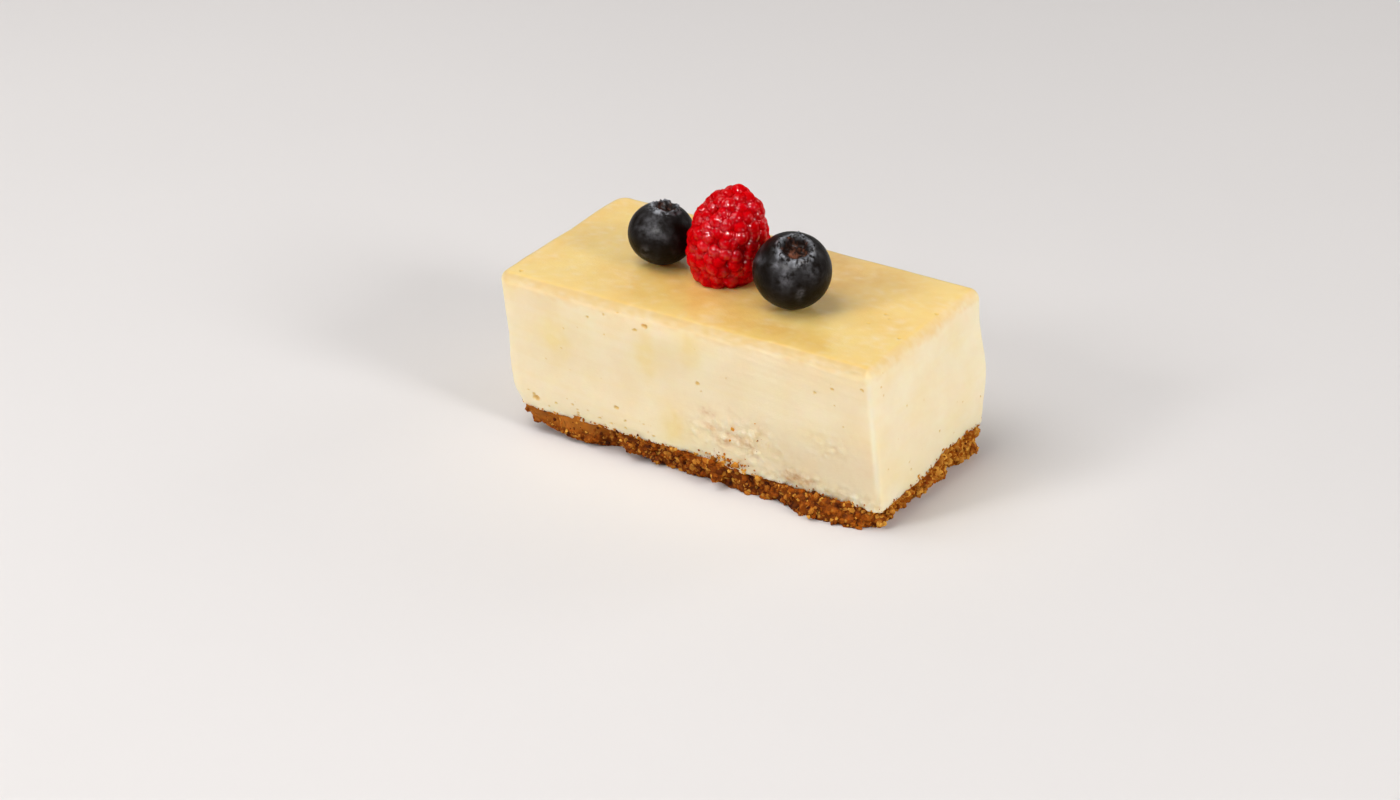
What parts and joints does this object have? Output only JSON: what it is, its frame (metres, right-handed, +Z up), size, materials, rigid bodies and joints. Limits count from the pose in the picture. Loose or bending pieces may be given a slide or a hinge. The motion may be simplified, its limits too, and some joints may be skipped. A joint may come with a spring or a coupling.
{
  "type": "baked cheesecake bar",
  "caption": "Rectangular cut bar of baked cheesecake on a biscuit crumb base, with a raspberry standing between blueberries on its glossy baked top.",
  "frame": {"origin": "under the middle of the whole, on the surface the bar rests on", "axes": "+X along the bar, towards the end that shows in the picture; +Y across it, away from the long side that shows; +Z up"},
  "size_m": [0.1034, 0.0534, 0.0627],
  "materials": {
    "biscuit_crumb": "dry golden brown biscuit crumb, pressed, with paler and darker granules",
    "baked_filling": "soft cream sides, faintly glossy golden baked top",
    "raspberry_flesh": "juicy translucent red drupelets, glossy",
    "blueberry_skin": "near-black blue skin, satin, with hazy grey-blue bloom"
  },
  "bodies": {
    "root": {"biscuit_base": "biscuit_crumb", "cheesecake": "baked_filling", "raspberry": "raspberry_flesh", "blueberry_left": "blueberry_skin", "blueberry_right": "blueberry_skin"}
  },
  "joints": []
}
